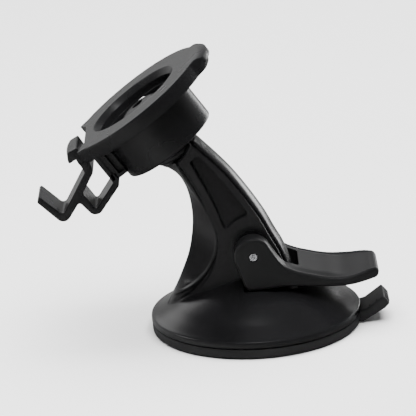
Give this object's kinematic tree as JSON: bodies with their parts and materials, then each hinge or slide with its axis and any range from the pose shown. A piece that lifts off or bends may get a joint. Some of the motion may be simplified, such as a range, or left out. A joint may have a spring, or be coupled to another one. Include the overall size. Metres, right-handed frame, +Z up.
{
  "type": "suction cup holder for a portable gps navigator",
  "caption": "Windscreen holder for a portable navigator: lever-locked suction base, curved arm, and a ball-jointed ring head with a sprung release clip.",
  "frame": {"origin": "on the suction cup's axis, in the plane that the cup's rim rests on, 0.5 mm under the face of the cup's centre when it is locked", "axes": "+Z up, away from the surface the cup sticks to; +X from the arm towards the lever's tip and the pull tab; the holder is symmetric about the XZ plane"},
  "size_m": [0.1242, 0.076, 0.1047],
  "materials": {
    "satin_black_plastic": "satin black moulded plastic, finely textured, polished along the arm's rear spine",
    "lever_plastic": "satin black moulded plastic with a fine spark texture on the thumb deck",
    "head_plastic": "even satin black moulded plastic",
    "black_rubber": "matt black rubber",
    "natural_nylon": "natural nylon",
    "zinc_steel": "zinc-plated steel",
    "spring_steel": "drawn spring steel wire"
  },
  "bodies": {
    "base": {"base_housing": "satin_black_plastic", "suction_cup": "black_rubber", "ball_stud": "satin_black_plastic", "guide_bush": "natural_nylon", "spring_washer": "zinc_steel", "return_spring": "spring_steel"},
    "pull_rod": {"cup_centre": "black_rubber", "cup_anchor": "zinc_steel", "pull_stem": "natural_nylon", "lever_pin": "zinc_steel"},
    "lever": {"lever": "lever_plastic"},
    "socket_liner": {"socket_liner": "natural_nylon"},
    "friction_ring": {"friction_ring": "black_rubber"},
    "head": {"mount_ring": "head_plastic", "ball_socket": "satin_black_plastic", "retaining_ring": "satin_black_plastic"},
    "release_clip": {"release_clip": "head_plastic"}
  },
  "joints": [
    {"name": "cup_pull", "type": "slide", "parent": "base", "child": "pull_rod", "axis": [0, 0, -1], "range_m": [0, 0.0026], "deforming": ["return_spring"]},
    {"name": "lever_hinge", "type": "hinge", "parent": "pull_rod", "child": "lever", "pos_m": [0, 0, 0.0301], "axis": [0, -1, 0], "range_deg": [0, 75]},
    {"name": "head_tilt", "type": "hinge", "parent": "base", "child": "socket_liner", "pos_m": [-0.03052, 0, 0.07443], "axis": [0, 1, 0], "range_deg": [-14, 14]},
    {"name": "head_swing", "type": "hinge", "parent": "socket_liner", "child": "friction_ring", "pos_m": [-0.03052, 0, 0.07443], "axis": [0.8241, 0, 0.5664], "range_deg": [-14, 14]},
    {"name": "head_spin", "type": "hinge", "parent": "friction_ring", "child": "head", "pos_m": [-0.03052, 0, 0.07443], "axis": [-0.5664, 0, 0.8241], "continuous": true},
    {"name": "clip_release", "type": "hinge", "parent": "head", "child": "release_clip", "pos_m": [-0.0551, 0, 0.0486], "axis": [0, -1, 0], "range_deg": [0, 6], "stiffness_Nm_per_rad": 1}
  ],
  "couplings": [
    {"joint": "cup_pull", "follows": "lever_hinge", "m_per_rad": 0.0019862}
  ]
}
